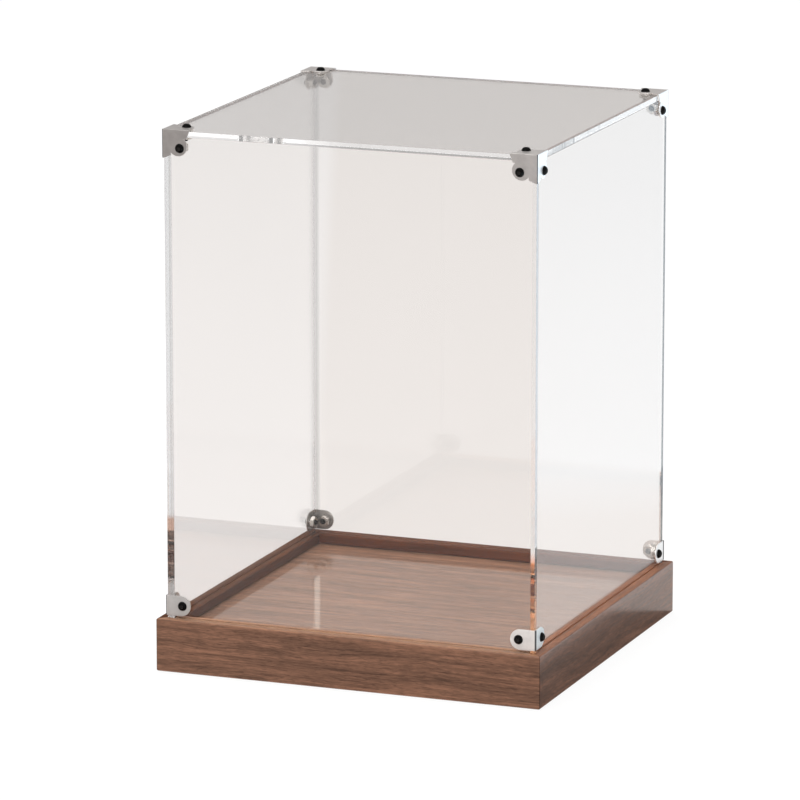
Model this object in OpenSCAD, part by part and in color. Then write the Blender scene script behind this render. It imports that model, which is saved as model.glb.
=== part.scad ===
// Clear display case: a five-panel acrylic cover held together by corner brackets,
// standing in a groove round the rim of a mitred wooden tray base.
// Origin at the centre of the footprint on the standing surface, +Z up, -Y is the front.

/* [Base] */
// Width of the base, left to right
base_w = 150; // [100:1:300]
// Depth of the base, front to back
base_d = 150; // [100:1:300]
// Height of the base rails
base_h = 20; // [18:0.5:40]
// Width of a rail, seen from above
rail_w = 8; // [8:0.5:14]
// Depth of the display floor below the rim
floor_recess = 4; // [3:0.5:5]
// Thickness of the floor board
floor_board_t = 6; // [3:0.5:6]
// Rounding of the rails' long edges
rail_edge_r = 0.6; // [0.3:0.1:0.9]

/* [Cover] */
// Height of the cover, from its lower edge in the groove to its top face
cover_h = 184; // [60:1:360]
// Thickness of the acrylic panels
panel_t = 2.2; // [2:0.1:2.6]
// Distance from the base's outer faces to the panels' outer faces
cover_inset = 3.3; // [2.9:0.1:3.3]
// Depth of the groove that the cover stands in
groove_depth = 2; // [1:0.5:2.5]
// Free play on each side of a panel in the groove
groove_play = 0.2; // [0.15:0.05:0.3]

/* [Corner brackets] */
// Thickness of the bracket sheet
bracket_t = 0.5; // [0.4:0.1:0.8]
// Reach of a top bracket along each edge of the cover
top_arm = 10.1; // [9.6:0.1:12]
// Width of a top bracket's arm where it ends
top_arm_w = 2.9; // [2:0.1:3.4]
// Radius of the round lobe under each top screw
top_lobe_r = 3.6; // [3.2:0.1:4]
// Distance of each top screw from both edges of its face
top_screw_in = 6.3; // [6.2:0.1:6.6]
// Reach of a bottom bracket's leg along the panel
bottom_leg = 9.2; // [8.8:0.1:12]
// Height of a bottom bracket
bottom_bracket_h = 7.6; // [7:0.1:9]
// Gap between a bottom bracket and the rim
bottom_bracket_gap = 0.9; // [0.5:0.1:5]
// Distance of each bottom screw from the cover's corner
bottom_screw_in = 6; // [5.9:0.1:6.2]

/* [Fasteners] */
// Thread diameter of the screws
screw_d = 2; // [1.6:0.1:2.2]
// Length of a screw under its head
screw_len = 5; // [4.8:0.1:5.2]
// Diameter of a button head
head_d = 3.5; // [3.2:0.1:3.8]
// Height of a button head
head_h = 1.1; // [1:0.1:1.3]
// Width across the flats of a nut
nut_af = 4; // [3.8:0.1:4]
// Thickness of a nut
nut_t = 1.6; // [1.2:0.1:1.6]

/* [Hidden] */
$fn = 48;
// Overshoot that keeps cut faces apart
eps = 0.1;

// Heights
floor_z = base_h - floor_recess;
cover_z0 = base_h - groove_depth;
cover_top = cover_z0 + cover_h;
walls_top = cover_top - panel_t;

// Cover footprint
cover_w = base_w - 2 * cover_inset;
cover_d = base_d - 2 * cover_inset;

// Floor board, held in a groove round the inside of the rails
board_tongue = 3;
board_play = 0.3;
// Shadow gap between the board's top and the rails above it
board_shadow_gap = 0.4;

// Hidden splines that key the mitred corners, as much wood below them as above
spline_len = 4.4;
spline_t = 1.6;
spline_z = 1.5;
spline_h = floor_z - floor_board_t - 2 * spline_z;
// Distance of a spline from both outer faces of its corner
spline_in = 3.8;

// Fastener details
hole_r = screw_d / 2 + 0.1;
nut_bore_r = screw_d / 2 + 0.02;
// Flat top of a button head, as a share of the head's diameter
head_top_share = 0.27;
head_top_r = head_top_share * head_d;
socket_af = 1.3;
socket_depth = 0.7;
tip_chamfer = 0.3;
bottom_screw_z = base_h + bottom_bracket_gap + bottom_bracket_h / 2;

// Top bracket: how far the lobe's centre lies short of the arms' ends, and the slant of those ends
lobe_back = 4.5;
top_lobe_in = top_arm - lobe_back;
arm_slant = 0.4;

// Corner signs in order: front left, front right, back right, back left
corner_x = [-1, 1, 1, -1];
corner_y = [-1, -1, 1, 1];

// ---------- placement ----------

// Moves to a corner of the cover at height z, with local +X and +Y pointing inwards along its edges
module at_cover_corner(i, z) {
    translate([corner_x[i] * cover_w / 2, corner_y[i] * cover_d / 2, z])
        rotate([0, 0, 90 * i])
            children();
}

// Puts a fastener, drawn with its head towards +Z, on the local wall at y = 0
module on_front_wall(u, z) {
    translate([u, 0, z])
        rotate([90, 0, 0])
            children();
}

// The same for the local wall at x = 0
module on_side_wall(u, z) {
    translate([0, u, z])
        rotate([0, -90, 0])
            children();
}

// The three fasteners of a top corner
module at_top_fasteners(i) {
    at_cover_corner(i, cover_top) {
        on_front_wall(top_screw_in, -top_screw_in) children();
        on_side_wall(top_screw_in, -top_screw_in) children();
        translate([top_screw_in, top_screw_in, 0]) children();
    }
}

// The two fasteners of a bottom corner
module at_bottom_fasteners(i) {
    at_cover_corner(i, bottom_screw_z) {
        on_front_wall(bottom_screw_in, 0) children();
        on_side_wall(bottom_screw_in, 0) rotate([0, 0, 90]) children();
    }
}

// ---------- wooden base ----------

// Cross-section of a rail: x runs inwards from the outer face, y is the height
module rail_section() {
    difference() {
        union() {
            translate([0, rail_edge_r]) square([rail_w, base_h - 2 * rail_edge_r]);
            translate([rail_edge_r, 0]) square([rail_w - 2 * rail_edge_r, base_h]);
            for (x = [rail_edge_r, rail_w - rail_edge_r])
                for (y = [rail_edge_r, base_h - rail_edge_r])
                    translate([x, y]) circle(r = rail_edge_r);
        }
        translate([cover_inset - groove_play, cover_z0])
            square([panel_t + 2 * groove_play, groove_depth + eps]);
        translate([rail_w - board_tongue, floor_z - floor_board_t])
            square([board_tongue + eps, floor_board_t + board_shadow_gap]);
    }
}

// One spline block, centred on the mitre plane that leaves the local origin along (1, 1)
module spline() {
    translate([spline_in, spline_in, spline_z + spline_h / 2])
        rotate([0, 0, -45])
            cube([spline_len, spline_t, spline_h], center = true);
}

// A rail of the given outer length, mitred at both ends, with its outer face on y = 0
module rail(length) {
    difference() {
        intersection() {
            rotate([90, 0, 90])
                linear_extrude(length, center = true)
                    rail_section();
            linear_extrude(base_h)
                polygon([
                    [-length / 2, 0],
                    [length / 2, 0],
                    [length / 2 - rail_w, rail_w],
                    [-length / 2 + rail_w, rail_w]
                ]);
        }
        translate([-length / 2, 0, 0]) spline();
        translate([length / 2, 0, 0]) rotate([0, 0, 90]) spline();
    }
}

module base_rail_front() {
    color("#77594a") translate([0, -base_d / 2, 0]) rail(base_w);
}

module base_rail_right() {
    color("#77594a") translate([base_w / 2, 0, 0]) rotate([0, 0, 90]) rail(base_d);
}

module base_rail_back() {
    color("#77594a") translate([0, base_d / 2, 0]) rotate([0, 0, 180]) rail(base_w);
}

module base_rail_left() {
    color("#77594a") translate([-base_w / 2, 0, 0]) rotate([0, 0, 270]) rail(base_d);
}

module floor_board() {
    edge_in = rail_w - board_tongue + board_play;
    color("#8c6e5e")
        translate([-base_w / 2 + edge_in, -base_d / 2 + edge_in, floor_z - floor_board_t])
            cube([base_w - 2 * edge_in, base_d - 2 * edge_in, floor_board_t]);
}

module corner_splines() {
    color("#c8a678")
        for (i = [0:3])
            translate([corner_x[i] * base_w / 2, corner_y[i] * base_d / 2, 0])
                rotate([0, 0, 90 * i])
                    spline();
}

// ---------- acrylic cover ----------

// Through holes for every screw of the cover; each panel takes the ones that cross it
module screw_holes() {
    for (i = [0:3]) {
        at_top_fasteners(i) screw_hole();
        at_bottom_fasteners(i) screw_hole();
    }
}

module screw_hole() {
    translate([0, 0, -panel_t - eps]) cylinder(r = hole_r, h = panel_t + 2 * eps);
}

// Front or back wall: as wide as the cover, side = -1 for the front and 1 for the back
module long_wall(side) {
    y0 = side < 0 ? -cover_d / 2 : cover_d / 2 - panel_t;
    difference() {
        translate([-cover_w / 2, y0, cover_z0]) cube([cover_w, panel_t, cover_h - panel_t]);
        screw_holes();
    }
}

// Left or right wall: fits between the front and back walls
module short_wall(side) {
    x0 = side < 0 ? -cover_w / 2 : cover_w / 2 - panel_t;
    difference() {
        translate([x0, -cover_d / 2 + panel_t, cover_z0])
            cube([panel_t, cover_d - 2 * panel_t, cover_h - panel_t]);
        screw_holes();
    }
}

module panel_front() {
    color("#dfeaf0", 0.3) long_wall(-1);
}

module panel_right() {
    color("#dfeaf0", 0.3) short_wall(1);
}

module panel_back() {
    color("#dfeaf0", 0.3) long_wall(1);
}

module panel_left() {
    color("#dfeaf0", 0.3) short_wall(-1);
}

module panel_top() {
    color("#dfeaf0", 0.3)
        difference() {
            translate([-cover_w / 2, -cover_d / 2, walls_top]) cube([cover_w, cover_d, panel_t]);
            screw_holes();
        }
}

// ---------- corner brackets ----------

// Outline of one plate of a top bracket, with the cover's corner at the origin
module top_plate_outline() {
    arm_end = top_arm - arm_slant * top_arm_w;
    difference() {
        union() {
            polygon([
                [-bracket_t, -bracket_t],
                [top_arm, -bracket_t],
                [top_arm, 0],
                [arm_end, top_arm_w],
                [top_arm_w, top_arm_w],
                [top_arm_w, arm_end],
                [0, top_arm],
                [-bracket_t, top_arm]
            ]);
            square([top_lobe_in, top_lobe_in]);
            translate([top_lobe_in, top_lobe_in]) circle(r = top_lobe_r);
        }
        translate([top_screw_in, top_screw_in]) circle(r = hole_r);
    }
}

// One plate as sheet metal, its inner face on z = 0
module top_plate() {
    linear_extrude(bracket_t) top_plate_outline();
}

// Three plates that meet at the cover's corner
module top_bracket(i) {
    color("#b4aca4")
        at_cover_corner(i, cover_top) {
            top_plate();
            mirror([0, 0, 1]) rotate([90, 0, 0]) top_plate();
            mirror([0, 0, 1]) rotate([0, -90, 0]) rotate([0, 0, 90]) mirror([0, 1, 0]) top_plate();
        }
}

// Outline of one leg of a bottom bracket: x along the panel, y is the height about its middle
module bottom_leg_outline() {
    end_r = bottom_bracket_h / 2;
    difference() {
        union() {
            translate([-bracket_t, -end_r]) square([bottom_leg - end_r + bracket_t, bottom_bracket_h]);
            translate([bottom_leg - end_r, 0]) circle(r = end_r);
        }
        translate([bottom_screw_in, 0]) circle(r = hole_r);
    }
}

// Two legs that wrap round the cover's vertical edge
module bottom_bracket(i) {
    color("#d9d9d6")
        at_cover_corner(i, bottom_screw_z) {
            rotate([90, 0, 0]) linear_extrude(bracket_t) bottom_leg_outline();
            rotate([90, 0, 90]) translate([0, 0, -bracket_t]) linear_extrude(bracket_t) bottom_leg_outline();
        }
}

// ---------- fasteners ----------

// Button-head screw: the panel's outer face is z = 0 and the head sits on the bracket
module screw() {
    head_r = head_d / 2;
    dome_z = (head_top_r * head_top_r + head_h * head_h - head_r * head_r) / (2 * head_h);
    dome_r = sqrt(head_r * head_r + dome_z * dome_z);
    translate([0, 0, bracket_t])
        difference() {
            union() {
                intersection() {
                    translate([0, 0, dome_z]) sphere(r = dome_r);
                    cylinder(r = head_r + eps, h = head_h);
                }
                translate([0, 0, -screw_len + tip_chamfer])
                    cylinder(r = screw_d / 2, h = screw_len - tip_chamfer + eps);
                translate([0, 0, -screw_len])
                    cylinder(r1 = screw_d / 2 - tip_chamfer, r2 = screw_d / 2, h = tip_chamfer);
            }
            translate([0, 0, head_h - socket_depth])
                cylinder(r = socket_af / sqrt(3), h = socket_depth + eps, $fn = 6);
        }
}

// Hexagon nut against the panel's inner face
module nut() {
    translate([0, 0, -panel_t - nut_t])
        difference() {
            rotate([0, 0, 30]) cylinder(r = nut_af / sqrt(3), h = nut_t, $fn = 6);
            translate([0, 0, -eps]) cylinder(r = nut_bore_r, h = nut_t + 2 * eps);
        }
}

module top_screws(i) {
    color("#1b1b1c") at_top_fasteners(i) screw();
}

module bottom_screws(i) {
    color("#1b1b1c") at_bottom_fasteners(i) screw();
}

module top_nuts(i) {
    color("#9c9a96") at_top_fasteners(i) nut();
}

module bottom_nuts(i) {
    color("#9c9a96") at_bottom_fasteners(i) nut();
}

base_rail_front();
base_rail_right();
base_rail_back();
base_rail_left();
floor_board();
corner_splines();
panel_front();
panel_right();
panel_back();
panel_left();
panel_top();
top_bracket(0);  // top_bracket_front_left
top_bracket(1);  // top_bracket_front_right
top_bracket(2);  // top_bracket_back_right
top_bracket(3);  // top_bracket_back_left
bottom_bracket(0);  // bottom_bracket_front_left
bottom_bracket(1);  // bottom_bracket_front_right
bottom_bracket(2);  // bottom_bracket_back_right
bottom_bracket(3);  // bottom_bracket_back_left
top_screws(0);  // top_screws_front_left
top_screws(1);  // top_screws_front_right
top_screws(2);  // top_screws_back_right
top_screws(3);  // top_screws_back_left
bottom_screws(0);  // bottom_screws_front_left
bottom_screws(1);  // bottom_screws_front_right
bottom_screws(2);  // bottom_screws_back_right
bottom_screws(3);  // bottom_screws_back_left
top_nuts(0);  // top_nuts_front_left
top_nuts(1);  // top_nuts_front_right
top_nuts(2);  // top_nuts_back_right
top_nuts(3);  // top_nuts_back_left
bottom_nuts(0);  // bottom_nuts_front_left
bottom_nuts(1);  // bottom_nuts_front_right
bottom_nuts(2);  // bottom_nuts_back_right
bottom_nuts(3);  // bottom_nuts_back_left
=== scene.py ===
"""Looks of the acrylic display cube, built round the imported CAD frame.

Metres, +Z up, -Y the front. Every place comes from the frame's boxes; lengths named below are in
millimetres and go through MM.
"""

import math

import bmesh
import bpy
from mathutils import Matrix, Vector

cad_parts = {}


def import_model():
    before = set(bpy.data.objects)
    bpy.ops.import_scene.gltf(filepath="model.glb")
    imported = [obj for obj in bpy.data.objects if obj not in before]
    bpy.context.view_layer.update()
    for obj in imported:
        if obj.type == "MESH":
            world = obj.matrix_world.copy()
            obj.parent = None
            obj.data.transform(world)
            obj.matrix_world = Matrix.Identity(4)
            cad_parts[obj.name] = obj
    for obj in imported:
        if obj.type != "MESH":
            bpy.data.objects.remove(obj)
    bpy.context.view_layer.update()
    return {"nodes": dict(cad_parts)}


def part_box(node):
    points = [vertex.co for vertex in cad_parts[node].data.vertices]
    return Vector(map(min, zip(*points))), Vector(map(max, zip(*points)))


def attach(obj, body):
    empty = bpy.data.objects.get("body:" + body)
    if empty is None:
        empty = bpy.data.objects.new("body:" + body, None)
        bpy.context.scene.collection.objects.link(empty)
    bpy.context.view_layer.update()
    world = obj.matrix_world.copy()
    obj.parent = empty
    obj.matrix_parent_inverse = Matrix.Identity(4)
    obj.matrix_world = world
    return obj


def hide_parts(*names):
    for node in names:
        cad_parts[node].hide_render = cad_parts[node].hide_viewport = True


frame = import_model()
MM = 0.001

# Camera: a long lens, from the front right and a little above
LENS = 277.8
CAMERA_AZ = math.radians(21.07)
CAMERA_EL = math.radians(12.74)
CAMERA_DISTANCE = 2.2897
CAMERA_AIM = Vector((0, 0, 0.125))
CAMERA_SHIFT_RIGHT = -0.00726
CAMERA_SHIFT_UP = -0.0316

# Light is mirrored many times between the faces of the sheets before it leaves them
LIGHT_BOUNCES = 80

# End of the shade beside the base that the right rail reflects
SHADE_END_X = 80.6
SHADE_END_Y = 73.2
RAIL_REFLECTION_END = 100.0

# Wooden base
RAIL_EDGE_R = 0.6
GROOVE_EDGE_R = 0.08
GROOVE_PLAY = 0.05
BOARD_PLAY = 0.3
BOARD_SHADOW_GAP = 0.4
MITRE_EASE = 0.07
MITRE_EASE_STEPS = 4
MITRE_SEAM_END = 1.2
MITRE_GAP = 0.08
RAIL_TONE_MIDDLE = 9.0
RAIL_TONE_SPAN = (4.0, 11.0)

# Cover
ACRYLIC_IOR = 1.49
PANEL_EDGE = 0.07
PANEL_GAP = 0.02
HOLE_R = 1.1
BRACKET_T = 0.5
CAD_EDGE_SEGMENTS = 3

# Painted shade in the back left corner of the cover: tint, where it is full, where it ends, how narrow it is
# along X
CORNER_SHADE = (0.55, 0.55, 0.55, 1)
CORNER_SHADE_FULL = 0.4
CORNER_SHADE_REACH = 4.5
CORNER_SHADE_SQUEEZE = 2.3

# Card in the same corner that the floor board mirrors as a bright strip: light, then places from the corner
GLINT_LIGHT = (1.22, 1.18, 1.10)
GLINT_IN = 2.1
GLINT_NEAR = 6.3
GLINT_FAR = 0.7
GLINT_BOTTOM = 29
GLINT_TOP = 60

# Fasteners
HEAD_R = 1.75
HEAD_H = 1.1
HEAD_TOP_R = 0.95
SOCKET_AF = 1.3
SOCKET_DEPTH = 0.7
SCREW_R = 1.0
SCREW_LEN = 5.0
THREAD_PITCH = 0.4
THREAD_DEPTH = 0.2
NUT_AF = 4.0
NUT_T = 1.6
NUT_BORE_R = 1.02
NUT_COUNTERSINK = 0.15

SIDES = ["front", "right", "back", "left"]
CORNERS = {
    "front_left": (-1, -1),
    "front_right": (1, -1),
    "back_right": (1, 1),
    "back_left": (-1, 1),
}


# ---------- small helpers ----------

def node(tree, kind, inputs=None, **settings):
    """A shader node; an input is a value or another node's socket."""
    made = tree.nodes.new(kind)
    for key, value in settings.items():
        setattr(made, key, value)
    for key, value in (inputs or {}).items():
        if isinstance(value, bpy.types.NodeSocket):
            tree.links.new(value, made.inputs[key])
        else:
            made.inputs[key].default_value = value
    return made


def math_node(tree, operation, a, b=0.0, c=0.0):
    return node(tree, "ShaderNodeMath", {0: a, 1: b, 2: c}, operation=operation).outputs[0]


def ramp(tree, fac, stops):
    """A colour ramp from (position, colour) stops."""
    made = node(tree, "ShaderNodeValToRGB", {"Fac": fac})
    elements = made.color_ramp.elements
    while len(elements) < len(stops):
        elements.new(0.5)
    for element, (position, colour) in zip(elements, stops):
        element.position = position
        element.color = (*colour, 1)
    return made.outputs["Color"]


def noise(tree, vector, stretch, detail=3.0, roughness=0.5, distortion=0.0):
    """Noise whose lumps have the size 1 / stretch along each axis, in millimetres."""
    scaled = node(tree, "ShaderNodeVectorMath", {0: vector, 1: stretch}, operation="MULTIPLY")
    made = node(tree, "ShaderNodeTexNoise", {
        "Vector": scaled.outputs[0],
        "Scale": 1.0,
        "Detail": detail,
        "Roughness": roughness,
        "Distortion": distortion,
    })
    return made.outputs["Fac"]


def map_range(tree, value, low, high, from_low=0.0, from_high=1.0):
    made = node(tree, "ShaderNodeMapRange", {
        "Value": value,
        "From Min": from_low,
        "From Max": from_high,
        "To Min": low,
        "To Max": high,
    })
    return made.outputs["Result"]


def new_material(name):
    """A material with one Principled shader; returns it, its tree and the shader."""
    made = bpy.data.materials.new(name)
    made.use_nodes = True
    return made, made.node_tree, made.node_tree.nodes["Principled BSDF"]


def millimetres(tree, offset=(0, 0, 0)):
    """The piece's own coordinates in millimetres, moved by an offset."""
    coords = node(tree, "ShaderNodeTexCoord")
    made = node(tree, "ShaderNodeMapping", {
        "Vector": coords.outputs["Object"],
        "Location": offset,
        "Scale": (1 / MM, 1 / MM, 1 / MM),
    })
    return made.outputs["Vector"]


def mix_colour(tree, fac, a, b, mode="MIX"):
    made = node(tree, "ShaderNodeMix", data_type="RGBA", blend_type=mode)
    for socket, value in ((made.inputs[0], fac), (made.inputs[6], a), (made.inputs[7], b)):
        if isinstance(value, bpy.types.NodeSocket):
            tree.links.new(value, socket)
        else:
            socket.default_value = value
    return made.outputs[2]


def split_axes(tree, vector):
    return node(tree, "ShaderNodeSeparateXYZ", {0: vector}).outputs


def grey(value):
    return (value, value, value)


# ---------- materials ----------

def wavy_grain(tree, seed):
    """Coordinates in millimetres for a grain along X that isn't quite straight."""
    place = millimetres(tree, (seed * 131.0, seed * 37.0, seed * 53.0))
    bend = noise(tree, place, (0.018, 0.05, 0.05), detail=2)
    lift = math_node(tree, "MULTIPLY", math_node(tree, "SUBTRACT", bend, 0.5), 5.0)
    shift = node(tree, "ShaderNodeCombineXYZ", {"Y": lift, "Z": lift})
    return node(tree, "ShaderNodeVectorMath", {0: place, 1: shift.outputs[0]}, operation="ADD").outputs[0]


def lighter_at_edges(tree, tone, rise):
    """Raises a rail's tone towards its upper and lower edge."""
    height = split_axes(tree, millimetres(tree))["Z"]
    off_middle = math_node(tree, "ABSOLUTE", math_node(tree, "SUBTRACT", height, RAIL_TONE_MIDDLE))
    return math_node(tree, "ADD", tone, map_range(tree, off_middle, 0.0, rise, *RAIL_TONE_SPAN))


def walnut(name, seed, middle, coat, coat_roughness, contrast=1.0, specular=0.5, height_tone=0.0):
    """Lacquered walnut with its grain along the piece's own X axis."""
    dark = tuple(0.5 * c for c in middle)
    light = tuple(1.7 * c for c in middle)
    pore_colour = (dark[0] * 0.55, dark[1] * 0.5, dark[2] * 0.5, 1)
    seam_colour = (0.012, 0.006, 0.004, 1)
    material, tree, shader = new_material(name)
    grain = wavy_grain(tree, seed)

    bands = noise(tree, grain, (0.018, 0.28, 0.28), detail=4, roughness=0.55)
    streaks = noise(tree, grain, (0.025, 1.2, 1.2), detail=3, roughness=0.6)
    fibres = noise(tree, grain, (0.25, 2.6, 2.6), detail=2, roughness=0.6)
    figure = noise(tree, grain, (0.05, 0.5, 0.5), detail=3, roughness=0.6, distortion=1.2)
    pore_noise = noise(tree, grain, (0.35, 3.2, 3.2), detail=1)
    pores = map_range(tree, pore_noise, 0.0, 1.0, 0.60, 0.72)

    tone = 0.5 - 0.5 * contrast
    for part, share in ((bands, 0.26), (streaks, 0.36), (fibres, 0.28), (figure, 0.10)):
        tone = math_node(tree, "MULTIPLY_ADD", part, share * contrast, tone)
    if height_tone:
        tone = lighter_at_edges(tree, tone, height_tone)
    colour = ramp(tree, tone, [(0.34, dark), (0.50, middle), (0.66, light)])
    colour = mix_colour(tree, math_node(tree, "MULTIPLY", pores, 0.5), colour, pore_colour)
    seam = node(tree, "ShaderNodeAttribute", attribute_name="seam").outputs["Fac"]
    colour = mix_colour(tree, seam, colour, seam_colour)

    relief = math_node(tree, "SUBTRACT", math_node(tree, "MULTIPLY", fibres, 0.5), pores)
    bump = node(tree, "ShaderNodeBump", {"Strength": 0.2, "Distance": 0.05 * MM, "Height": relief})
    tree.links.new(colour, shader.inputs["Base Color"])
    tree.links.new(bump.outputs["Normal"], shader.inputs["Normal"])
    tree.links.new(map_range(tree, streaks, 0.38, 0.58, 0.3, 0.7), shader.inputs["Roughness"])
    shader.inputs["Coat Weight"].default_value = coat
    shader.inputs["Coat Roughness"].default_value = coat_roughness
    shader.inputs["Coat IOR"].default_value = 1.5
    shader.inputs["IOR"].default_value = 1.35
    shader.inputs["Specular IOR Level"].default_value = specular
    return material


def corner_shade(tree, place):
    """1 at the cover's back left corner and 0 away from it, only on the faces inside the cover."""
    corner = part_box("panel_left")[1] / MM
    squeeze = (CORNER_SHADE_SQUEEZE, 1, 0)
    centre = (CORNER_SHADE_SQUEEZE * corner.x, corner.y, 0)
    flat = node(tree, "ShaderNodeVectorMath", {0: place, 1: squeeze}, operation="MULTIPLY").outputs[0]
    away = node(tree, "ShaderNodeVectorMath", {0: flat, 1: centre}, operation="DISTANCE").outputs["Value"]
    inside = math_node(tree, "GREATER_THAN", split_axes(tree, place)["X"], corner.x - 0.05)
    near_corner = map_range(tree, away, 1.0, 0.0, CORNER_SHADE_FULL, CORNER_SHADE_REACH)
    return math_node(tree, "MULTIPLY", inside, near_corner)


def make_clear(shader):
    """Smooth, fully transparent acrylic."""
    shader.inputs["Roughness"].default_value = 0.0
    shader.inputs["IOR"].default_value = ACRYLIC_IOR
    shader.inputs["Transmission Weight"].default_value = 1.0


def acrylic(name, tint):
    """Clear cast acrylic with a faint cloudy tint and painted shade in the back left corner of the cover."""
    material, tree, shader = new_material(name)
    place = millimetres(tree)
    cloud = noise(tree, place, (0.02, 0.02, 0.02), detail=2)
    colour = ramp(tree, cloud, [(0.3, tuple(0.996 * c for c in tint)), (0.7, tint)])
    colour = mix_colour(tree, corner_shade(tree, place), colour, CORNER_SHADE)
    tree.links.new(colour, shader.inputs["Base Color"])
    make_clear(shader)
    return material


def acrylic_edge(name, stops, axis="Z", glow_stops=None):
    """A polished edge of a sheet: clear, with a painted tint of reflected wood and shade that changes along
    an axis, and maybe a painted glow along X.
    """
    material, tree, shader = new_material(name)
    axes = split_axes(tree, millimetres(tree))

    def along(which, colours):
        first, last = colours[0][0], colours[-1][0]
        share = map_range(tree, axes[which], 0.0, 1.0, first, last)
        return ramp(tree, share, [((at - first) / (last - first), colour) for at, colour in colours])

    tree.links.new(along(axis, stops), shader.inputs["Base Color"])
    make_clear(shader)
    if glow_stops:
        tree.links.new(along("X", glow_stops), shader.inputs["Emission Color"])
        shader.inputs["Emission Strength"].default_value = 1.0
    return material


def with_side_leg(tree, place, base, metallic, leg):
    """Colour and bare metal share of a bracket whose leg on a side panel has a painted highlight and
    reflection tint of its own.

    leg is that leg's painted colour, its bare metal share and the width of the painted shade line along the
    bend.
    """
    leg_colour, leg_metallic, fold = leg
    axes = split_axes(tree, place)
    on_side = math_node(tree, "GREATER_THAN", math_node(tree, "ABSOLUTE", axes["X"]), SIDE_LEG_OUT)
    in_fold_shade = math_node(tree, "GREATER_THAN", math_node(tree, "ABSOLUTE", axes["Y"]), SIDE_LEG_OUT - fold)
    base = mix_colour(tree, on_side, base, (*leg_colour, 1))
    base = mix_colour(tree, math_node(tree, "MULTIPLY", on_side, in_fold_shade), base, PAINTED_FOLD_SHADE)
    return base, map_range(tree, on_side, metallic, leg_metallic)


def satin_metal(name, colour, roughness, brush, metallic=1.0, specular=0.5,
                socket_colour=None, side_leg=None):
    """Sheet or turned metal with fine brushing and slight tarnish."""
    material, tree, shader = new_material(name)
    place = millimetres(tree)
    tarnish = noise(tree, place, (0.35, 0.35, 0.35), detail=4, roughness=0.6)
    lines = noise(tree, place, brush, detail=3, roughness=0.6)
    base = ramp(tree, tarnish, [(0.35, tuple(0.9 * c for c in colour)), (0.65, colour)])
    shader.inputs["Metallic"].default_value = metallic
    if socket_colour:
        socket = node(tree, "ShaderNodeAttribute", attribute_name="socket").outputs["Fac"]
        base = mix_colour(tree, socket, base, (*socket_colour, 1))
    if side_leg:
        base, bare = with_side_leg(tree, place, base, metallic, side_leg)
        tree.links.new(bare, shader.inputs["Metallic"])
    tree.links.new(base, shader.inputs["Base Color"])
    rough = math_node(tree, "ADD", map_range(tree, tarnish, -0.05, 0.05), map_range(tree, lines, -0.04, 0.04))
    tree.links.new(math_node(tree, "ADD", rough, roughness), shader.inputs["Roughness"])
    bump = node(tree, "ShaderNodeBump", {"Strength": 0.12, "Distance": 0.01 * MM, "Height": lines})
    tree.links.new(bump.outputs["Normal"], shader.inputs["Normal"])
    shader.inputs["Specular IOR Level"].default_value = specular
    return material


def raw_wood(name, dark, light, stretch):
    """Unfinished wood, as in the grooves and the hidden splines."""
    material, tree, shader = new_material(name)
    place = millimetres(tree)
    fibres = noise(tree, place, stretch, detail=4, roughness=0.6)
    colour = ramp(tree, fibres, [(0.35, dark), (0.65, light)])
    tree.links.new(colour, shader.inputs["Base Color"])
    bump = node(tree, "ShaderNodeBump", {"Strength": 0.3, "Distance": 0.05 * MM, "Height": fibres})
    tree.links.new(bump.outputs["Normal"], shader.inputs["Normal"])
    tree.links.new(map_range(tree, fibres, 0.6, 0.8), shader.inputs["Roughness"])
    return material


# Brightness of each bracket, painted light and shade that differ from corner to corner, how much of it is
# bare metal, also set per corner for its reflections, and the colour of its leg on a side panel, a painted
# highlight and reflection tint
BRACKET_PAINTED_LIGHT = {
    "top": {"front_left": 0.70, "front_right": 0.88, "back_right": 0.85, "back_left": 0.8},
    "bottom": {"front_left": 0.62, "front_right": 0.98, "back_right": 0.95, "back_left": 0.45},
}
BRACKET_METAL = {
    "top": {"front_left": 0.8, "front_right": 0.8, "back_right": 0.8, "back_left": 0.8},
    "bottom": {"front_left": 0.2, "front_right": 0.2, "back_right": 0.8, "back_left": 0.8},
}
BRACKET_HUE = (1.0, 0.955, 0.92)
# Side legs: a bluish painted reflection on the near bottom bracket, a white painted highlight on the others
NEAR_SIDE_LEG_REFLECTION = (0.86, 0.96, 1.0)
SIDE_LEG_HIGHLIGHT = (1.0, 1.0, 1.0)
SIDE_LEG_METAL = 0.8
SIDE_LEG_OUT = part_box("panel_right")[1].x / MM + BRACKET_T / 2
# Painted shade: a dark line along the bend of each bottom bracket's side leg, and its width
PAINTED_FOLD_SHADE = (0.05, 0.05, 0.055, 1)
BOTTOM_FOLD_SHADE_WIDTH = 1.0

# Middle tone of each wooden surface; the right rail, rims, inner faces and grooves carry painted light and
# shade, as noted at each
RAIL_WOOD = (0.198, 0.092, 0.053)
# Right rail: a darker copy of the rail tone, painted shade on the side away from the light
SHADED_RIGHT_RAIL_WOOD = (0.170, 0.077, 0.046)
BOARD_WOOD = (0.275, 0.145, 0.088)
# Rim tops: lighter copies at the front and right as painted light, darker copies at the back and left as
# painted shade
LIT_AND_SHADED_RIM_WOOD = {
    "front": (0.41, 0.20, 0.108),
    "right": (0.31, 0.125, 0.062),
    "back": (0.122, 0.038, 0.016),
    "left": (0.110, 0.038, 0.015),
}
# Inner faces of the rails, darker than the rails' own tone: painted shade in the recess above the floor board
SHADED_INNER_WOOD = (0.112, 0.032, 0.012)
SHADED_LEFT_INNER_WOOD = (0.095, 0.032, 0.014)
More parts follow.
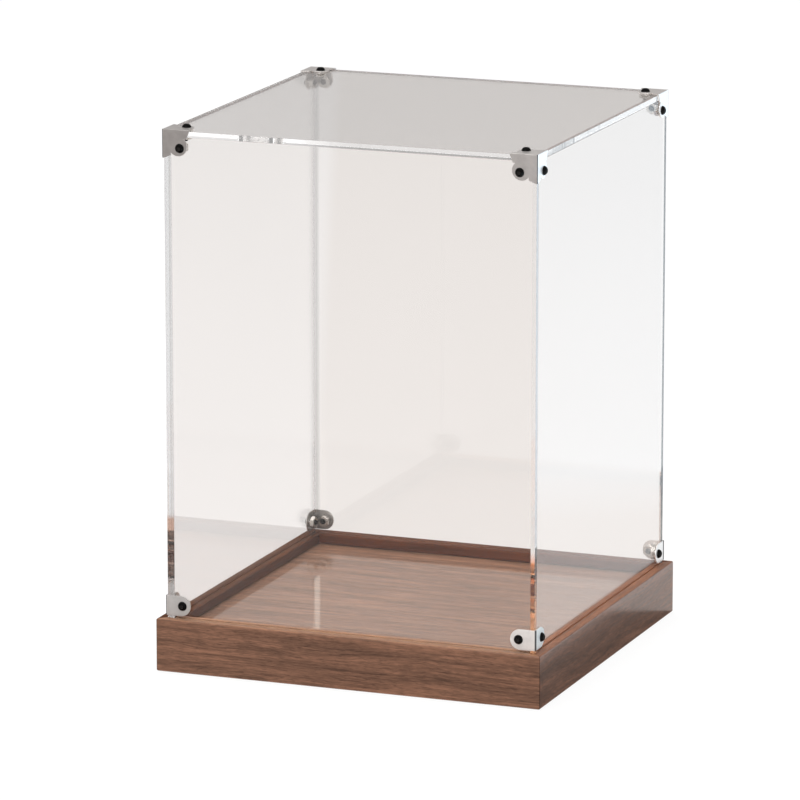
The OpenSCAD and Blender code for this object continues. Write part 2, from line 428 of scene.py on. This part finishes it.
# Raw wood in the grooves: lighter than the lacquered rails as unfinished wood is, plus painted light at the
# front and right, which the panels' edges carry up, and painted shade at the back and left
LIT_AND_SHADED_GROOVE_WOOD = {
    "front": (0.50, 0.31, 0.20),
    "right": (0.48, 0.21, 0.11),
    "back": (0.20, 0.075, 0.035),
    "left": (0.16, 0.065, 0.032),
}
GROOVE_GRAIN = (0.12, 3.0, 3.0)

rail_looks = {}
rim_looks = {}
inner_looks = {}
groove_looks = {}
for seed, side in enumerate(SIDES, start=1):
    outer_wood = SHADED_RIGHT_RAIL_WOOD if side == "right" else RAIL_WOOD
    rail_looks[side] = walnut(f"walnut_{side}", seed, outer_wood, 1.0, 0.16, 1.35, height_tone=0.07)
    # Front and right rims are also glossier, going with their painted light
    rim_coat, rim_specular = (0.3, 0.5) if side in ("front", "right") else (0.0, 0.1)
    rim_looks[side] = walnut(f"walnut_rim_{side}", seed, LIT_AND_SHADED_RIM_WOOD[side], rim_coat, 0.3, 1.1, rim_specular)
    inner_wood, inner_specular = (SHADED_LEFT_INNER_WOOD, 0.5) if side == "left" else (SHADED_INNER_WOOD, 0.1)
    inner_looks[side] = walnut(f"walnut_inner_{side}", seed, inner_wood, 0.0, 0.3, 1.1, inner_specular)
    groove_dark = tuple(0.8 * c for c in LIT_AND_SHADED_GROOVE_WOOD[side])
    groove_light = tuple(1.2 * c for c in LIT_AND_SHADED_GROOVE_WOOD[side])
    groove_looks[side] = raw_wood(f"raw_walnut_{side}", groove_dark, groove_light, GROOVE_GRAIN)
board_look = walnut("walnut_floor", 7, BOARD_WOOD, 1.0, 0.07, 1.5)
spline_look = raw_wood("spline_wood", (0.36, 0.22, 0.11), (0.55, 0.37, 0.20), (4.0, 4.0, 0.15))
acrylic_look = acrylic("clear_acrylic", (0.985, 0.972, 0.962))

# Tints painted on the panels' edges: clear, or painted reflections of the wood round them and painted shade;
# two edges of the top panel also get a painted glow
CLEAR = (0.97, 0.985, 1.0)
COOL_EDGE_SHADE = (0.76, 0.82, 0.87)
FRONT_EDGE_SHADE = (0.70, 0.73, 0.77)
FRONT_EDGE_TOP_SHADE = (0.74, 0.77, 0.80)
PAINTED_WOOD_REFLECTION = (1.0, 0.24, 0.06)
PAINTED_FRONT_WOOD_REFLECTION = (0.97, 0.26, 0.08)
WOOD_SHADE = (0.36, 0.16, 0.10)

# Heights on the upright edges, and places along the edges of the top panel
LOW = 0
HIGH = 205
GLOW_END = 53
GLOW_GONE = 57
SHADE_START = 33
SHADE_FULL = 35
SHADE_FULL_END = 57
SHADE_GONE = 59
TOP_START = -75
TOP_END = 75

# Keyed by panel, axis and side of that axis
edge_looks = {
    ("panel_front", 0, 1): acrylic_edge("edge_front_right", [
        (LOW, PAINTED_FRONT_WOOD_REFLECTION), (GLOW_END, PAINTED_FRONT_WOOD_REFLECTION), (GLOW_GONE, FRONT_EDGE_SHADE), (HIGH, FRONT_EDGE_SHADE)]),
    ("panel_front", 0, -1): acrylic_edge("edge_front_left", [(LOW, FRONT_EDGE_SHADE), (HIGH, FRONT_EDGE_TOP_SHADE)]),
    # Dark greys on the back panel's ends and the top panel's left end: painted shade
    ("panel_back", 0, 1): acrylic_edge("edge_back_right", [(LOW, grey(0.16)), (HIGH, grey(0.15))]),
    ("panel_back", 0, -1): acrylic_edge("edge_back_left", [(LOW, grey(0.50)), (HIGH, grey(0.48))]),
    ("panel_right", 1, -1): acrylic_edge("edge_right_front", [
        (LOW, PAINTED_WOOD_REFLECTION), (GLOW_END, PAINTED_WOOD_REFLECTION), (GLOW_GONE, CLEAR), (HIGH, CLEAR)]),
    ("panel_left", 1, -1): acrylic_edge("edge_left_front", [
        (LOW, CLEAR), (SHADE_START, CLEAR), (SHADE_FULL, WOOD_SHADE), (SHADE_FULL_END, WOOD_SHADE),
        (SHADE_GONE, COOL_EDGE_SHADE), (HIGH, COOL_EDGE_SHADE)]),
    ("panel_top", 0, -1): acrylic_edge(
        "edge_top_left", [(TOP_START, grey(0.20)), (TOP_END, grey(0.19))], "Y"),
    # Painted highlight: the top panel's right and front edges glow though no lamp is there
    ("panel_top", 0, 1): acrylic_edge(
        "edge_top_right", [(TOP_START, CLEAR), (TOP_END, CLEAR)], "Y",
        [(TOP_START, grey(0.3)), (TOP_END, grey(0.3))]),
    ("panel_top", 1, -1): acrylic_edge(
        "edge_top_front", [(TOP_START, CLEAR), (TOP_END, CLEAR)], "X",
        [(TOP_START, grey(0.35)), (-30, grey(0.3)), (0, grey(0.0)), (TOP_END, grey(0.0))]),
}


def bracket_look(level, corner):
    colour = tuple(BRACKET_PAINTED_LIGHT[level][corner] * c for c in BRACKET_HUE)
    metallic = BRACKET_METAL[level][corner]
    fold = BOTTOM_FOLD_SHADE_WIDTH if level == "bottom" else 0.0
    side_leg = (SIDE_LEG_HIGHLIGHT, SIDE_LEG_METAL, fold)
    if (level, corner) == ("bottom", "front_right"):
        side_leg = (NEAR_SIDE_LEG_REFLECTION, metallic, fold)
    return satin_metal(f"satin_{level}_{corner}", colour, 0.36, (7.0, 7.0, 0.2), metallic, side_leg=side_leg)


bracket_looks = {(level, corner): bracket_look(level, corner)
                 for level in ("top", "bottom") for corner in CORNERS}
screw_look = satin_metal("black_screw", (0.003, 0.0028, 0.0028), 0.3, (9.0, 9.0, 9.0), metallic=0.0,
                         specular=0.12, socket_colour=(0.04, 0.036, 0.034))
nut_look = satin_metal("plated_nut", (0.60, 0.57, 0.53), 0.28, (5.0, 5.0, 5.0))


# ---------- mesh helpers ----------

def piece_from(name, points, faces, material, smooth_angle):
    """A mesh object from points in millimetres."""
    mesh = bpy.data.meshes.new(name)
    mesh.from_pydata([tuple(MM * c for c in p) for p in points], [], faces)
    mesh.materials.append(material)
    shaped = bmesh.new()
    shaped.from_mesh(mesh)
    bmesh.ops.recalc_face_normals(shaped, faces=shaped.faces)
    shaped.to_mesh(mesh)
    shaped.free()
    mesh.shade_smooth()
    mesh.set_sharp_from_angle(angle=math.radians(smooth_angle))
    made = bpy.data.objects.new(name, mesh)
    bpy.context.scene.collection.objects.link(made)
    made.modifiers.new("normals", "WEIGHTED_NORMAL").keep_sharp = True
    return made


def stands_for(piece, cad_node, body):
    """The piece rides on its body and takes the place of the CAD node, which is hidden."""
    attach(piece, body)
    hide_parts(cad_node)


def rounded(corners, steps=4):
    """A closed outline from (x, y, radius) corners."""
    outline = []
    for k, (x, y, radius) in enumerate(corners):
        here = Vector((x, y))
        before = (Vector(corners[k - 1][:2]) - here).normalized()
        after = (Vector(corners[(k + 1) % len(corners)][:2]) - here).normalized()
        half = before.angle(after) / 2
        centre = here + (before + after).normalized() * radius / math.sin(half)
        start = here + before * radius / math.tan(half) - centre
        end = here + after * radius / math.tan(half) - centre
        for step in range(steps + 1):
            blend = start.lerp(end, step / steps).normalized() * radius
            outline.append(centre + blend)
    return outline


def outward_normals(outline):
    """One unit normal per point of a counter-clockwise outline."""
    normals = []
    for k, point in enumerate(outline):
        along = (outline[(k + 1) % len(outline)] - outline[k - 1]).normalized()
        normals.append(Vector((along.y, -along.x)))
    return normals


def loft(rings):
    """Points and faces through rings of equal length, each closed by a fan at its end."""
    count = len(rings[0])
    points = [p for ring in rings for p in ring]
    faces = []
    for j in range(len(rings) - 1):
        for k in range(count):
            m = (k + 1) % count
            faces.append((j * count + k, j * count + m, (j + 1) * count + m, (j + 1) * count + k))
    return points, faces


# ---------- wooden base ----------

# Heights, and distances from the outer face, in a rail's cross-section
PANEL_LOW, PANEL_HIGH = (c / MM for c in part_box("panel_front"))
BOARD_LOW, BOARD_HIGH = (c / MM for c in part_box("floor_board"))
FRONT_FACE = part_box("base_rail_front")[0].y / MM
GROOVE_OUT = PANEL_LOW.y - FRONT_FACE - GROOVE_PLAY
GROOVE_IN = PANEL_HIGH.y - FRONT_FACE + GROOVE_PLAY
GROOVE_FLOOR = PANEL_LOW.z
SLOT_X = BOARD_LOW.y - FRONT_FACE - BOARD_PLAY
SLOT_BOTTOM = BOARD_LOW.z
SLOT_TOP = BOARD_HIGH.z + BOARD_SHADOW_GAP


def rail_outline(width, height):
    """Cross-section with the cover's groove in its top and the floor board's slot in its inner face."""
    return rounded([
        (0, 0, RAIL_EDGE_R),
        (width, 0, RAIL_EDGE_R),
        (width, SLOT_BOTTOM, GROOVE_EDGE_R),
        (SLOT_X, SLOT_BOTTOM, GROOVE_EDGE_R),
        (SLOT_X, SLOT_TOP, GROOVE_EDGE_R),
        (width, SLOT_TOP, GROOVE_EDGE_R),
        (width, height, RAIL_EDGE_R),
        (GROOVE_IN, height, GROOVE_EDGE_R),
        (GROOVE_IN, GROOVE_FLOOR, GROOVE_EDGE_R),
        (GROOVE_OUT, GROOVE_FLOOR, GROOVE_EDGE_R),
        (GROOVE_OUT, height, GROOVE_EDGE_R),
        (0, height, RAIL_EDGE_R),
    ])


def mitred_rings(outline, length):
    """Rings from mitre to mitre with eased edges, and each point's darkness as part of the joint line."""
    normals = outward_normals(outline)
    turns = [math.pi / 2 * step / MITRE_EASE_STEPS for step in range(MITRE_EASE_STEPS + 1)]
    stops = [(MITRE_EASE * (1 - math.cos(turn)), MITRE_EASE * (1 - math.sin(turn)), 1 - turn / (math.pi / 2))
             for turn in turns]
    stops.append((MITRE_SEAM_END, 0.0, 0.0))
    rings = []
    seams = []
    for sign in (-1, 1):
        for back, inset, seam in (stops if sign < 0 else reversed(stops)):
            ring = []
            for point, normal in zip(outline, normals):
                place = point - normal * inset
                along = length / 2 - place.x - back - MITRE_GAP
                ring.append((sign * along, -length / 2 + place.x, place.y))
                seams.append(seam)
            rings.append(ring)
    return rings, seams


def rail_surface(across, up, faces_up, height):
    """Which of a rail's four materials a face has: outside, groove, rim or inner face."""
    in_groove = GROOVE_OUT - 0.05 < across < GROOVE_IN + 0.05 and up > GROOVE_FLOOR - 0.05
    if in_groove and up < height - GROOVE_EDGE_R:
        return 1
    if up > height - RAIL_EDGE_R and faces_up:
        return 2
    if across > GROOVE_IN and up > SLOT_BOTTOM:
        return 3
    return 0


def rail(side, index):
    """One mitred rail, made along X with its outer face towards -Y, then turned to its side."""
    name = f"base_rail_{side}"
    low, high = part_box(name)
    size = (high - low) / MM
    length = max(size.x, size.y)
    outline = rail_outline(min(size.x, size.y), size.z)
    rings, seams = mitred_rings(outline, length)
    points, faces = loft(rings)
    count = len(outline)
    faces.append(tuple(range(count)))
    faces.append(tuple(len(points) - count + k for k in range(count)))
    made = piece_from(f"walnut_rail_{side}", points, faces, rail_looks[side], 40)
    for look in (groove_looks[side], rim_looks[side], inner_looks[side]):
        made.data.materials.append(look)
    for face in made.data.polygons:
        across = face.center.y / MM + length / 2
        face.material_index = rail_surface(across, face.center.z / MM, face.normal.z > 0.6, size.z)
    made.data.attributes.new("seam", "FLOAT", "POINT").data.foreach_set("value", seams)
    made.rotation_euler.z = index * math.pi / 2
    stands_for(made, name, "base")


for index, side in enumerate(SIDES):
    rail(side, index)


# ---------- CAD nodes that keep their shape ----------

def finish_cad(cad_node, material, edge):
    """Gives a CAD node a material and eases its edges with modifiers."""
    kept = frame["nodes"][cad_node]
    kept.data.materials.clear()
    kept.data.materials.append(material)
    weld = kept.modifiers.new("weld", "WELD")
    weld.merge_threshold = 0.001 * MM
    flat = kept.modifiers.new("flat", "DECIMATE")
    flat.decimate_type = "DISSOLVE"
    flat.angle_limit = math.radians(0.5)
    bevel = kept.modifiers.new("edges", "BEVEL")
    bevel.width = edge * MM
    bevel.segments = CAD_EDGE_SEGMENTS
    bevel.limit_method = "ANGLE"
    bevel.angle_limit = math.radians(40)
    bevel.use_clamp_overlap = True
    kept.modifiers.new("normals", "WEIGHTED_NORMAL").keep_sharp = True


finish_cad("floor_board", board_look, 0.25)
finish_cad("corner_splines", spline_look, 0.1)
for corner in CORNERS:
    for level in ("top", "bottom"):
        finish_cad(f"{level}_bracket_{corner}", bracket_looks[level, corner], 0.12)


# ---------- fastener places ----------

def fasteners(level, corner):
    """(place on the panel's outer face in mm, turn of its axes) of each fastener of a corner.

    A fastener's own Z points out of the panel. Along and across are the corner's edges, pointing inwards.
    """
    index = list(CORNERS).index(corner)
    sx, sy = CORNERS[corner]
    low, high = (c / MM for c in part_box(f"{level}_screws_{corner}"))
    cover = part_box("panel_top")[1] / MM
    inner = Vector((
        high.x - HEAD_R if sx < 0 else low.x + HEAD_R,
        high.y - HEAD_R if sy < 0 else low.y + HEAD_R,
        low.z + HEAD_R,
    ))
    turn = Matrix.Rotation(index * math.pi / 2, 3, "Z")
    along = turn @ Vector((1, 0, 0))
    across = turn @ Vector((0, 1, 0))
    up = Vector((0, 0, 1))

    def on_face(outward):
        place = inner.copy()
        axis = 0 if abs(outward.x) > 0.5 else 1
        place[axis] = outward[axis] * cover[axis]
        return place

    def axes(x, y, z):
        return Matrix((x, y, z)).transposed()

    side_axes = axes(up, across, -along) if level == "top" else axes(across, -up, -along)
    places = [(on_face(-across), axes(along, up, -across)), (on_face(-along), side_axes)]
    if level == "top":
        places.append((Vector((inner.x, inner.y, cover.z)), axes(along, across, up)))
    return places


ALL_FASTENERS = [(level, corner) for level in ("top", "bottom") for corner in CORNERS]


# ---------- acrylic panels ----------

def circle(x, y, radius, count=40):
    return [(x + radius * math.cos(math.tau * k / count), y + radius * math.sin(math.tau * k / count))
            for k in range(count)]


def plate_mesh(name, outline, holes, thickness, edge):
    """A flat plate in millimetres, centred on z = 0, with rounded edges round its outline and holes."""
    curve = bpy.data.curves.new(name, "CURVE")
    curve.dimensions = "2D"
    curve.fill_mode = "BOTH"
    curve.extrude = thickness / 2 - edge
    curve.bevel_depth = edge
    curve.bevel_resolution = 2
    curve.offset = -edge
    for loop in [outline, *holes]:
        spline = curve.splines.new("POLY")
        spline.points.add(len(loop) - 1)
        for point, (x, y) in zip(spline.points, loop):
            point.co = (x, y, 0, 1)
        spline.use_cyclic_u = True
    holder = bpy.data.objects.new(name, curve)
    bpy.context.scene.collection.objects.link(holder)
    graph = bpy.context.evaluated_depsgraph_get()
    mesh = bpy.data.meshes.new_from_object(holder.evaluated_get(graph))
    bpy.data.objects.remove(holder)
    bpy.data.curves.remove(curve)
    shaped = bmesh.new()
    shaped.from_mesh(mesh)
    bmesh.ops.remove_doubles(shaped, verts=shaped.verts, dist=0.002)
    bmesh.ops.recalc_face_normals(shaped, faces=shaped.faces)
    shaped.to_mesh(mesh)
    shaped.free()
    return mesh


def panel_holes(low, high, thin, across, up):
    """Outlines of the screw holes in a panel, from its middle."""
    middle = (low + high) / 2
    holes = []
    for level, corner in ALL_FASTENERS:
        for place, turn in fasteners(level, corner):
            if abs(turn.col[2][thin]) > 0.5 and low[thin] - 0.1 < place[thin] < high[thin] + 0.1:
                holes.append(circle(place[across] - middle[across], place[up] - middle[up], HOLE_R))
    return holes


def unit_axis(axis):
    return [1.0 if k == axis else 0.0 for k in range(3)]


def tint_edges(mesh, name, low, high):
    """Gives the panel's edges that have a look of their own, with painted reflections, shade and glow, that
    look.
    """
    for (owner, axis, sign), look in edge_looks.items():
        if owner != name:
            continue
        mesh.materials.append(look)
        rim = (high if sign > 0 else low)[axis]
        for face in mesh.polygons:
            if sign * face.normal[axis] > 0.9 and abs(face.center[axis] / MM - rim) < 2 * PANEL_GAP:
                face.material_index = len(mesh.materials) - 1


def panel(name):
    """One acrylic sheet, a hair smaller than its CAD solid so that neighbours don't share a face."""
    low, high = (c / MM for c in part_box(name))
    size = high - low
    thin = min(range(3), key=lambda axis: size[axis])
    across, up = [axis for axis in range(3) if axis != thin]
    half_w = size[across] / 2 - PANEL_GAP
    half_h = size[up] / 2 - PANEL_GAP
    outline = [(-half_w, -half_h), (half_w, -half_h), (half_w, half_h), (-half_w, half_h)]
    holes = panel_holes(low, high, thin, across, up)
    mesh = plate_mesh(name + "_sheet", outline, holes, size[thin] - 2 * PANEL_GAP, PANEL_EDGE)
    axes = Matrix((unit_axis(across), unit_axis(up), unit_axis(thin))).transposed().to_4x4()
    mesh.transform(Matrix.Scale(MM, 4) @ Matrix.Translation((low + high) / 2) @ axes)
    if axes.determinant() < 0:
        mesh.flip_normals()
    mesh.materials.clear()
    mesh.materials.append(acrylic_look)
    tint_edges(mesh, name, low, high)
    mesh.shade_flat()
    made = bpy.data.objects.new(name + "_acrylic", mesh)
    bpy.context.scene.collection.objects.link(made)
    made.visible_shadow = False
    stands_for(made, name, "cover")


for side in [*SIDES, "top"]:
    panel(f"panel_{side}")


# ---------- screws and nuts ----------

FASTENER_SIDES = 36
SOCKET_RINGS = 4
DOME_STEPS = 8
THREAD_STEPS = 6
AXIS_R = 0.02


def ring_at(radius, z):
    """A ring of points; radius is a number or a function of the angle."""
    ring = []
    for k in range(FASTENER_SIDES):
        angle = math.tau * k / FASTENER_SIDES
        r = radius(angle) if callable(radius) else radius
        ring.append((r * math.cos(angle), r * math.sin(angle), z))
    return ring


def hexagon(across_flats):
    """Radius of a hexagon at an angle."""
    def radius(angle):
        return across_flats / 2 / math.cos((angle % (math.pi / 3)) - math.pi / 6)
    return radius


def head_rings(seat):
    """Rings of a button head from the bottom of its hexagon socket, over the dome, to the shank."""
    top = seat + HEAD_H
    rings = [
        ring_at(AXIS_R, top - SOCKET_DEPTH - 0.12),
        ring_at(hexagon(SOCKET_AF - 0.1), top - SOCKET_DEPTH),
        ring_at(hexagon(SOCKET_AF), top - SOCKET_DEPTH + 0.06),
        ring_at(hexagon(SOCKET_AF), top - 0.08),
        ring_at(hexagon(SOCKET_AF + 0.14), top),
    ]
    dome_z = (HEAD_TOP_R ** 2 + HEAD_H ** 2 - HEAD_R ** 2) / (2 * HEAD_H)
    dome_r = math.hypot(HEAD_R, dome_z)
    for step in range(DOME_STEPS + 1):
        z = HEAD_H * (1 - step / DOME_STEPS)
        rings.append(ring_at(math.sqrt(dome_r ** 2 - (z - dome_z) ** 2), seat + z))
    rings.append(ring_at(HEAD_R - 0.06, seat))
    rings.append(ring_at(SCREW_R, seat))
    return rings


def thread_rings(seat):
    """Rings of the threaded shank and its pointed end."""
    shank = SCREW_LEN - 0.3
    core = SCREW_R - THREAD_DEPTH
    rings = []
    for step in range(int(shank / THREAD_PITCH * THREAD_STEPS) + 1):
        depth = step * THREAD_PITCH / THREAD_STEPS

        def crest(angle, depth=depth):
            phase = (depth / THREAD_PITCH - angle / math.tau) % 1
            return SCREW_R - 0.01 - THREAD_DEPTH * abs(2 * phase - 1)
        rings.append(ring_at(crest, seat - depth))
    rings.append(ring_at(core, seat - shank - 0.05))
    rings.append(ring_at(core - 0.2, seat - SCREW_LEN))
    rings.append(ring_at(AXIS_R, seat - SCREW_LEN))
    return rings


def screw_shape():
    """Button head with a hexagon socket, and a threaded shank; z = 0 is the panel's outer face."""
    points, faces = loft(head_rings(BRACKET_T) + thread_rings(BRACKET_T))
    count = FASTENER_SIDES
    faces.append(tuple(range(count)))
    faces.append(tuple(len(points) - count + k for k in range(count)))
    socket = [1.0 if k < SOCKET_RINGS * count else 0.0 for k in range(len(points))]
    return points, faces, socket


def nut_shape():
    """Hexagon nut with chamfered corners against the panel's inner face."""
    panel_low, panel_high = (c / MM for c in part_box("panel_top"))
    flat_r = NUT_AF / 2 * 0.96
    slope = math.tan(math.radians(30))
    top = panel_low.z - panel_high.z
    bottom = top - NUT_T
    mouth_r = NUT_BORE_R + NUT_COUNTERSINK

    def edge(z, sign):
        return [(x, y, z + sign * slope * max(0.0, math.hypot(x, y) - flat_r))
                for x, y, _ in ring_at(hexagon(NUT_AF), z)]

    points, faces = loft([
        ring_at(NUT_BORE_R, top - NUT_COUNTERSINK),
        ring_at(mouth_r, top),
        ring_at(flat_r, top),
        edge(top, -1),
        edge(bottom, 1),
        ring_at(flat_r, bottom),
        ring_at(mouth_r, bottom),
        ring_at(NUT_BORE_R, bottom + NUT_COUNTERSINK),
        ring_at(NUT_BORE_R, top - NUT_COUNTERSINK),
    ])
    return points, faces, [0.0] * len(points)


def fastener_group(level, corner, kind, shape, material, smooth_angle):
    """All screws or nuts of one corner as one piece, each turned to its own angle."""
    points, faces, socket = [], [], []
    own_points, own_faces, own_socket = shape
    for number, (place, turn) in enumerate(fasteners(level, corner)):
        start = len(points)
        spin = math.radians(30 if kind == "nuts" else 17 + 37 * number)
        turn = turn @ Matrix.Rotation(spin, 3, "Z")
        points += [tuple(place + turn @ Vector(p)) for p in own_points]
        faces += [tuple(start + v for v in face) for face in own_faces]
        socket += own_socket
    name = f"{level}_{kind}_{corner}"
    made = piece_from(f"{name}_detail", points, faces, material, smooth_angle)
    made.data.attributes.new("socket", "FLOAT", "POINT").data.foreach_set("value", socket)
    stands_for(made, name, "cover")


screw = screw_shape()
nut = nut_shape()
for level, corner in ALL_FASTENERS:
    fastener_group(level, corner, "screws", screw, screw_look, 35)
    fastener_group(level, corner, "nuts", nut, nut_look, 20)


# ---------- stage, light and camera ----------

def stage_sheet(name, corners, material):
    """A flat piece of the stage."""
    mesh = bpy.data.meshes.new(name)
    mesh.from_pydata(corners, [], [(0, 1, 2, 3)])
    mesh.materials.append(material)
    made = bpy.data.objects.new(name, mesh)
    bpy.context.scene.collection.objects.link(made)
    return made


def card(name, corners, stops, one_sided=False):
    """A glowing sheet that only reflections see; stops are (distance from the object's middle, colour)."""
    material = bpy.data.materials.new(name)
    material.use_nodes = True
    tree = material.node_tree
    tree.nodes.clear()
    place = node(tree, "ShaderNodeTexCoord").outputs["Object"]
    away = node(tree, "ShaderNodeVectorMath", {0: place}, operation="LENGTH").outputs["Value"]
    brightest = max(max(colour) for _, colour in stops)
    dimmed = [(distance, tuple(c / brightest for c in colour)) for distance, colour in stops]
    glow = node(tree, "ShaderNodeEmission", {"Color": ramp(tree, away, dimmed), "Strength": brightest})
    surface = glow.outputs[0]
    if one_sided:
        back = node(tree, "ShaderNodeNewGeometry").outputs["Backfacing"]
        nothing = node(tree, "ShaderNodeBsdfTransparent").outputs[0]
        surface = node(tree, "ShaderNodeMixShader", {0: back, 1: surface, 2: nothing}).outputs[0]
    output = node(tree, "ShaderNodeOutputMaterial")
    tree.links.new(surface, output.inputs["Surface"])
    made = stage_sheet(name, corners, material)
    made.visible_shadow = False
    made.visible_camera = False
    made.visible_diffuse = False
    made.visible_transmission = False


def reflected_floor():
    """What reflections see in place of the floor: shade in front of the base and beside it, light beyond."""
    reach = 4.0
    above = 0.2 * MM
    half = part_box("base_rail_right")[1].x
    beside = RAIL_REFLECTION_END * MM
    slope = math.tan(CAMERA_AZ)
    edge_y = SHADE_END_Y * MM + slope * SHADE_END_X * MM

    def sheet(name, corners, stops):
        card(name, [(x, y, above) for x, y in corners], stops)

    def edge(x):
        return edge_y - slope * x

    sheet("shade_front", [(-reach, -reach), (half, -reach), (half, -half), (-reach, -half)],
          [(0.1, (0.20, 0.17, 0.155)), (1.0, (0.18, 0.15, 0.14))])
    sheet("shade_beside", [(half, -reach), (beside, -reach), (beside, edge(beside)), (half, edge(half))],
          [(0.1, (0.12, 0.11, 0.10)), (1.0, (0.12, 0.11, 0.10))])
    sheet("glow_beside", [(half, edge(half)), (beside, edge(beside)), (beside, 0.4), (half, 0.4)],
          [(0.1, (0.70, 0.66, 0.63)), (0.4, (0.70, 0.66, 0.63))])
    sheet("glow_right", [(beside, -reach), (reach, -reach), (reach, reach), (beside, reach)],
          [(0.14, (0.93, 0.93, 0.93)), (0.25, (1.0, 1.02, 1.04)), (0.33, (1.20, 1.36, 1.48)),
           (0.95, (1.09, 1.25, 1.38))])
    sheet("glow_behind", [(-0.1, 0.4), (beside, 0.4), (beside, reach), (-0.1, reach)],
          [(0.4, (1.20, 1.36, 1.48)), (0.95, (1.09, 1.25, 1.38))])


def corner_glint():
    """A bright strip along the back left corner of the cover that only the glossy floor board mirrors."""
    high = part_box("panel_left")[1] / MM
    x = high.x + GLINT_IN
    near = high.y - GLINT_NEAR
    far = high.y - GLINT_FAR
    outline = ((near, GLINT_BOTTOM), (far, GLINT_BOTTOM), (far, GLINT_TOP), (near, GLINT_TOP))
    corners = [(x * MM, y * MM, z * MM) for y, z in outline]
    card("corner_glint", corners, [(0.0, GLINT_LIGHT), (1.0, GLINT_LIGHT)], one_sided=True)


def floor_through_cover(tree, place):
    """Floor colour seen through the acrylic: painted shade that is darker further off, and painted light left
    of the back corner.
    """
    away = node(tree, "ShaderNodeVectorMath", {0: place}, operation="LENGTH").outputs["Value"]
    fade = map_range(tree, away, 0.0, 1.0, 0.1, 1.1)
    warm = mix_colour(tree, fade, (0.77, 0.745, 0.73, 1), (0.71, 0.69, 0.675, 1))
    lifted = mix_colour(tree, 1.0, warm, (1.08, 1.105, 1.13, 1), "MULTIPLY")
    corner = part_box("panel_left")[0].x
    across = node(tree, "ShaderNodeVectorMath", {
        0: place, 1: (math.cos(CAMERA_AZ), math.sin(CAMERA_AZ), 0),
    }, operation="DOT_PRODUCT").outputs["Value"]
    corner_line = corner * (math.cos(CAMERA_AZ) - math.sin(CAMERA_AZ))
    left_share = map_range(tree, across, 1.0, 0.0, corner_line - 0.005, corner_line + 0.002)
    return mix_colour(tree, left_share, warm, lifted)


def studio_floor():
    """Pale seamless floor: white where it is seen directly, and warmer and darker through the cover, a
    painted shade.
    """
    reach = 6.0
    below = -0.2 * MM
    material, tree, shader = new_material("studio_floor")
    path = node(tree, "ShaderNodeLightPath")
    place = node(tree, "ShaderNodeTexCoord").outputs["Object"]
    seen_through = floor_through_cover(tree, place)
    glow = mix_colour(tree, path.outputs["Is Camera Ray"], seen_through, (0.9, 0.9, 0.9, 1))
    tree.links.new(glow, shader.inputs["Emission Color"])
    shader.inputs["Base Color"].default_value = (0.15, 0.15, 0.15, 1)
    shader.inputs["Roughness"].default_value = 0.9
    shader.inputs["Specular IOR Level"].default_value = 0.0
    shader.inputs["Emission Strength"].default_value = 1.0
    corners = ((-reach, -reach), (reach, -reach), (reach, reach), (-reach, reach))
    stage_sheet("studio_floor", [(x, y, below) for x, y in corners], material)


def soft_light(name, place, aim, size, power, in_reflections=False):
    lamp = bpy.data.lights.new(name, "AREA")
    lamp.shape = "RECTANGLE"
    lamp.size, lamp.size_y = size
    lamp.energy = power
    made = bpy.data.objects.new(name, lamp)
    made.location = place
    made.rotation_euler = (Vector(aim) - Vector(place)).to_track_quat("-Z", "Y").to_euler()
    made.visible_glossy = in_reflections
    bpy.context.scene.collection.objects.link(made)


def world():
    """Grey studio air: lighter near the horizon than overhead."""
    made = bpy.data.worlds.new("studio")
    made.use_nodes = True
    tree = made.node_tree
    tree.nodes.clear()
    coords = node(tree, "ShaderNodeTexCoord")
    split = node(tree, "ShaderNodeSeparateXYZ", {0: coords.outputs["Generated"]})
    colour = ramp(tree, split.outputs["Z"], [
        (0.0, (0.48, 0.465, 0.46)), (0.35, (0.44, 0.425, 0.42)), (0.8, (0.5, 0.5, 0.5)),
    ])
    sky = node(tree, "ShaderNodeBackground", {"Color": colour, "Strength": 1.0})
    output = node(tree, "ShaderNodeOutputWorld")
    tree.links.new(sky.outputs[0], output.inputs["Surface"])
    bpy.context.scene.world = made


def camera():
    """A camera on a sphere round the aim point, moved a little sideways and down for the framing."""
    back = Vector((math.sin(CAMERA_AZ) * math.cos(CAMERA_EL), -math.cos(CAMERA_AZ) * math.cos(CAMERA_EL),
                   math.sin(CAMERA_EL)))
    right = Vector((math.cos(CAMERA_AZ), math.sin(CAMERA_AZ), 0))
    up = back.cross(right)
    data = bpy.data.cameras.new("camera")
    data.lens = LENS
    data.sensor_width = 36
    data.clip_end = 20
    made = bpy.data.objects.new("camera", data)
    turn = Matrix((right, up, back)).transposed().to_4x4()
    place = CAMERA_AIM + back * CAMERA_DISTANCE + right * CAMERA_SHIFT_RIGHT + up * CAMERA_SHIFT_UP
    made.matrix_world = Matrix.Translation(place) @ turn
    bpy.context.scene.collection.objects.link(made)
    bpy.context.scene.camera = made


studio_floor()
reflected_floor()
corner_glint()
world()
camera()
soft_light("overhead", (-0.4, 0.2, 1.6), (0, 0, 0), (1.6, 1.6), 16)
soft_light("front_fill", (0.1, -1.6, 1.0), (0, 0, 0.1), (1.4, 1.0), 10, in_reflections=True)
bpy.context.scene.view_settings.view_transform = "Standard"
bpy.context.scene.cycles.max_bounces = LIGHT_BOUNCES
bpy.context.scene.cycles.transmission_bounces = LIGHT_BOUNCES
bpy.context.scene.cycles.glossy_bounces = LIGHT_BOUNCES
